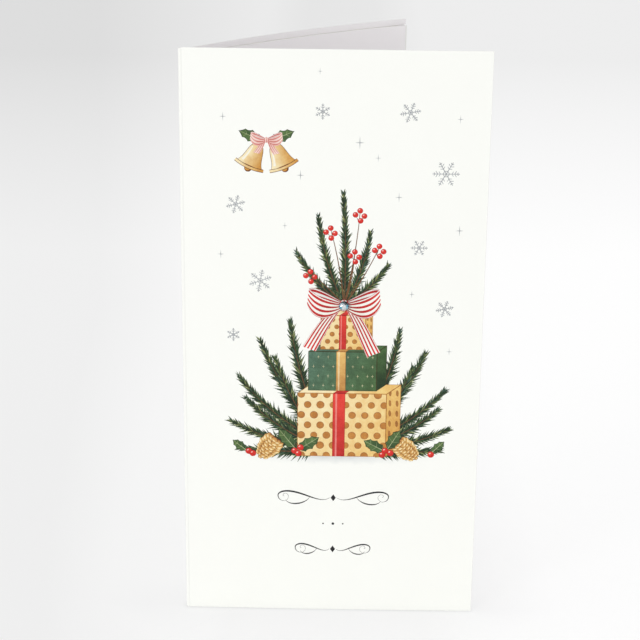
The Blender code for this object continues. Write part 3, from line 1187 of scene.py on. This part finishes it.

# Painted sparkle with the coating's blue, painted reflection in white and painted shade in dark, from the
# right and round to the left, for each least slope of a facet
COAT_AND_SPARKLE_TONES = ((0.97, "ffffff"),
         (0.90, "a8e9fb e8f2f6 ffffff ffffff 7fdcf2 ffffff ffffff d8f4fb"),
         (0.70, "35bfe6 22303e c9d8de ffffff 35bfe6 dfe9ec f3ddd2 8fdcf0"),
         (0.30, "2a6f8c 0d141b 3c4b57 a9bcc6 1f86ab 54707f 8a7d78 2b4f66"),
         (-0.5, "141c25 0c1118 2a3642 3c4b57"),
         (-2.0, "ffffff"))


def corner_ring(diameter, height, count, turn=0):
    """Corners spaced evenly round a ring; a turn of 0.5 starts half a step on."""
    angles = math.tau * (np.arange(count) + turn) / count
    return [(x, y, height) for x, y in polar(diameter / 2, angles)]


def made_mesh(shape, name, finish):
    """The mesh of a finished shape."""
    mesh = bpy.data.meshes.new(name)
    shape.to_mesh(mesh)
    shape.free()
    mesh.materials.append(finish.material)
    return mesh


# %% [markdown]
# Stone finishes
#
# The crystal is clear glass coloured by each facet's painted sparkle, partly its coating's blue. The foil
# is a mirror whose colour is a painted reflection in shards of blue, white and dark, as the crown's facets
# show it. The glue is a clear, softly rounded drop.

# %% Stone finishes
REFLECTION_SHARDS, BRUSH, CLOUDS = 1500, 3000, 1800

crystal = Finish("cut_crystal", Roughness=0.02, IOR=1.56, Transmission_Weight=0.55, Coat_Weight=1.0,
                 Coat_Roughness=0.02)
# The crystal's colour is each facet's painted sparkle: the coating's blue, painted reflection and painted
# shade.
crystal.drive("Base Color", crystal.node("ShaderNodeAttribute", {"attribute_name": "tint"}, output="Color"))

foil = Finish("mirror_foil", Metallic=1.0)
brushed = foil.noise(BRUSH, 3, 0.6)
# Painted reflection: the mirror's colour is broken into shards of blue, white and dark.
painted_reflection_shard = foil.node("ShaderNodeTexVoronoi", {}, {"Vector": foil.place(), "Scale": REFLECTION_SHARDS}, "Color")
painted_reflection_shard = foil.node("ShaderNodeSeparateXYZ", {}, {"Vector": painted_reflection_shard}, "X")
tones = inks("4d6478 6fcbe8 ffffff f4fafd ffffff f6e2d8")
foil.drive("Base Color", foil.node("ShaderNodeValToRGB", {"stops": tones}, {"Fac": painted_reflection_shard}, "Color"))
foil.drive("Roughness", 0.1 + brushed * 0.15)
foil.bumps(brushed, 0.01 * MM)

glue = Finish("clear_glue", IOR=1.48, Transmission_Weight=0.6)
cloud = glue.noise(CLOUDS, 2)
glue.drive("Base Color", glue.blend(cloud, *inks("f3efe2 e4dfcf")))
glue.drive("Roughness", 0.2 + cloud * 0.15)

# %% Cut crystal
shape = bmesh.new()
for width_share, height_share, count, turn in CUT_SHARES:
    width, height = width_share * (gem_high.z - gem_low.z), height_share * (gem_high.y - gem_low.y)
    for point in corner_ring(width, height, count * FACETS, turn):
        shape.verts.new(point)
bmesh.ops.convex_hull(shape, input=shape.verts)
bmesh.ops.dissolve_limit(shape, angle_limit=math.radians(1), verts=shape.verts, edges=shape.edges)
print("stone facets", len(shape.faces))

crystal_mesh = made_mesh(shape, "stone_crystal", crystal)
tint = crystal_mesh.attributes.new("tint", "FLOAT_COLOR", "CORNER")
# Each facet is coloured with painted reflection or painted shade, by its slope and its side.
for face in crystal_mesh.polygons:
    coat_and_sparkle_tones = inks(next(codes for slope, codes in COAT_AND_SPARKLE_TONES if face.normal.z > slope))
    sector = int(math.atan2(face.center.y, face.center.x) / math.tau * FACETS + FACETS + 0.25)
    for loop in face.loop_indices:
        tint.data[loop].color = coat_and_sparkle_tones[sector % len(coat_and_sparkle_tones)]

# %% Stone, foil and glue
LENS_SIDES = 32
over_knot = (gem_low + gem_high) / 2
over_knot.y = front_plan(np.array([knot[0] * MM]))[0][0][1] - half_card - front_low.y


def lens(name, node, dome, finish):
    """A round piece with a soft rim: a stack of rings from its back to the middle of its front."""
    low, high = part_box(node)
    shape = bmesh.new()
    rings = []
    shares = [(0.92, 0.0), (1.0, 0.3), (0.97, 0.7), (0.88, 0.9), (0.6, 1.0 - dome / 3), (0.3, 1.0)]
    for width_share, height_share in shares:
        corners = corner_ring((high.x - low.x) * width_share, (high.y - low.y) * height_share, LENS_SIDES)
        rings.append([shape.verts.new(p) for p in corners])
    for lower, upper in zip(rings, rings[1:]):
        for i in range(LENS_SIDES):
            j = (i + 1) % LENS_SIDES
            shape.faces.new((lower[i], lower[j], upper[j], upper[i]))
    shape.faces.new(rings[-1])
    shape.faces.new(rings[0][::-1])
    mesh = made_mesh(shape, name, finish)
    mesh.shade_smooth()
    return mesh


for mesh, node, slot in ((crystal_mesh, "gem_crystal", "cut_crystal"),
                         (lens("stone_foil", "gem_foil", 0.0, foil), "gem_foil", "mirror_foil"),
                         (lens("stone_glue", "gem_glue", 0.6, glue), "gem_glue", "clear_glue")):
    piece = linked(mesh.name, mesh)
    outwards = Vector((0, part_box(node)[1].y, 0))
    piece.matrix_world = Matrix.Translation(over_knot + outwards) @ Matrix.Rotation(math.pi / 2, 4, "X")
    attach(piece, "front")
    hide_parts(node)

# %% [markdown]
# Studio
#
# The wallet stands on a pale floor that runs away behind it without a horizon. One soft lamp at the
# front left, a little over a metre wide, models the opening, and an even sky fills the rest. Both are
# set so that a colour renders about as it is written. The floor's tone carries painted shade: it falls
# off far away and to the left, a painted shadow lies in front of and under the wallet, and a painted
# contact shade darkens the last millimetres under its edges. Part of its tone is a glow that only the
# camera sees, which keeps it pale without lighting the wallet.

# %% Floor
FLOOR_REACH = 40.0
FLOOR_TONE = 0.99
FAR_FALL, LEFT_FALL, FRONT_FALL, NEAR_FALL, CONTACT_FALL = 0.144, 0.11, 0.04, 0.06, 0.05

# Where each fall of painted shade starts and where it is full, in metres from the middle of the wallet
FAR, NEAR, FRONT, SIDES = (0.4, 1.0), (-0.06, -0.36), (-0.01, -0.03), (0.088, 0.033)
LEFT, LEFT_HALF, CONTACT = (0.045, 0.105), (0.05, -0.05), (0.045, 0.0)
NOOK_REACH, NOOK_FALL = 0.002, 0.25

# How much of its tone the floor takes from the lamp and the sky and how much from its own glow, where
# the camera sees it, and how much of the light it sends on to the wallet
LIT_SHARE, GLOW_SHARE, SENT_SHARE = 0.34, 0.69, 0.9

bpy.ops.mesh.primitive_plane_add(size=2 * FLOOR_REACH)
floor = bpy.context.object
floor.name = "floor"

pale = Finish("pale_floor", Roughness=0.9, Specular_IOR_Level=0.1, Emission_Strength=1.0)
across, away = pale.place("X"), pale.place("Y")
sideways = pale.node("ShaderNodeMath", {"operation": "ABSOLUTE"}, {0: across})


def kept(value, low=0.0, high=1.0):
    """A value kept between two limits."""
    return pale.node("ShaderNodeClamp", {}, {"Value": value, "Min": low, "Max": high})


def ramp(value, stretch):
    """How far a value has come along a stretch, from 0 at its start to 1 at its end."""
    return kept((value - stretch[0]) / (stretch[1] - stretch[0]))


spread = kept(1 + 1.6 * away, 0.9, 4.0)
leftness = ramp(kept(away, 0.0, 0.3) * 0.07 - across / spread, LEFT) + 0.15 * ramp(across, LEFT_HALF)
# Painted shadow of the wallet, in front of its foot and round it
painted_front_shadow = ramp(away, FRONT) * ramp(sideways, SIDES)
painted_near_shadow = ramp(kept(-0.03 - away) + kept(sideways - 0.035), CONTACT)
tone = FLOOR_TONE - FAR_FALL * ramp(away, FAR) - LEFT_FALL * leftness - FRONT_FALL * painted_front_shadow
tone = tone - NEAR_FALL * ramp(away, NEAR) - CONTACT_FALL * painted_near_shadow
# Painted contact shade: an occlusion node darkens the colour in the last millimetres under the edges
open_share = pale.node("ShaderNodeAmbientOcclusion", {}, {"Distance": NOOK_REACH}, "AO")
tone = tone * (1 - NOOK_FALL * (1 - open_share))


def seen_share(nodes):
    """1 for what the camera sees, also in a mirror or through glass, and 0 for what only gives light."""
    camera, glossy, through = [nodes.node("ShaderNodeLightPath", output=f"Is {kind} Ray")
                               for kind in ("Camera", "Glossy", "Transmission")]
    return camera + glossy + through


seen = seen_share(pale)
for socket, share in (("Base Color", tone * (SENT_SHARE - (SENT_SHARE - LIT_SHARE) * seen)),
                      ("Emission Color", tone * (GLOW_SHARE * seen))):
    grey = dict.fromkeys(("Red", "Green", "Blue"), share)
    pale.drive(socket, pale.node("ShaderNodeCombineColor", {}, grey))
floor.data.materials.append(pale.material)

# %% Sky and lamp
SKY_LIGHT, SKY_SEEN = 0.86, 0.955
LAMP_SIZE, LAMP_POWER = 1.2, 78
LAMP_PLACE, LAMP_TARGET = Vector((-2.9, -3.1, 0.4)), Vector((0, 0, 0.1))

world = bpy.data.worlds.new("soft_sky")
sky = Nodes(world, "World Output")
lights = [sky.node("ShaderNodeBackground", {}, {"Color": (1, 1, 1, 1), "Strength": strength})
          for strength in (SKY_LIGHT, SKY_SEEN)]
sky.drive("Surface", sky.node("ShaderNodeMixShader", {}, {0: seen_share(sky), 1: lights[0], 2: lights[1]}))
bpy.context.scene.world = world

lamp = bpy.data.lights.new("front_left_softbox", "AREA")
lamp.size = LAMP_SIZE
lamp.energy = LAMP_POWER
softbox = linked("front_left_softbox", lamp)
softbox.location = LAMP_PLACE
softbox.rotation_euler = (LAMP_TARGET - LAMP_PLACE).to_track_quat("-Z", "Y").to_euler()
softbox.visible_camera = False
print("lamp", LAMP_SIZE, "m wide, the sky seen as", SKY_SEEN)

# %% [markdown]
# Camera
#
# The camera looks down at the wallet from in front, as the photograph does. Its place, its tilt and its
# long lens were found by matching the card's real corners to the picture of them.

# %% Camera
LENS = 99.72
PLACE = Vector((2.51, -588.13, 300.70)) * MM
DOWN, YAW, ROLL = math.radians(19.1515), math.radians(-0.6807), math.radians(0.6122)

camera = bpy.data.cameras.new("camera")
camera.lens = LENS
camera.clip_start, camera.clip_end = 0.01, 20
holder = linked("camera", camera)
holder.matrix_world = Matrix.Translation(PLACE) @ Matrix.Rotation(-YAW, 4, "Z") \
    @ Matrix.Rotation(math.pi / 2 - DOWN, 4, "X") @ Matrix.Rotation(ROLL, 4, "Z")
bpy.context.scene.camera = holder
bpy.context.scene.view_settings.view_transform = "Standard"
print("camera", np.round(np.array(PLACE), 3), "looks", round(math.degrees(DOWN), 1), "degrees down")
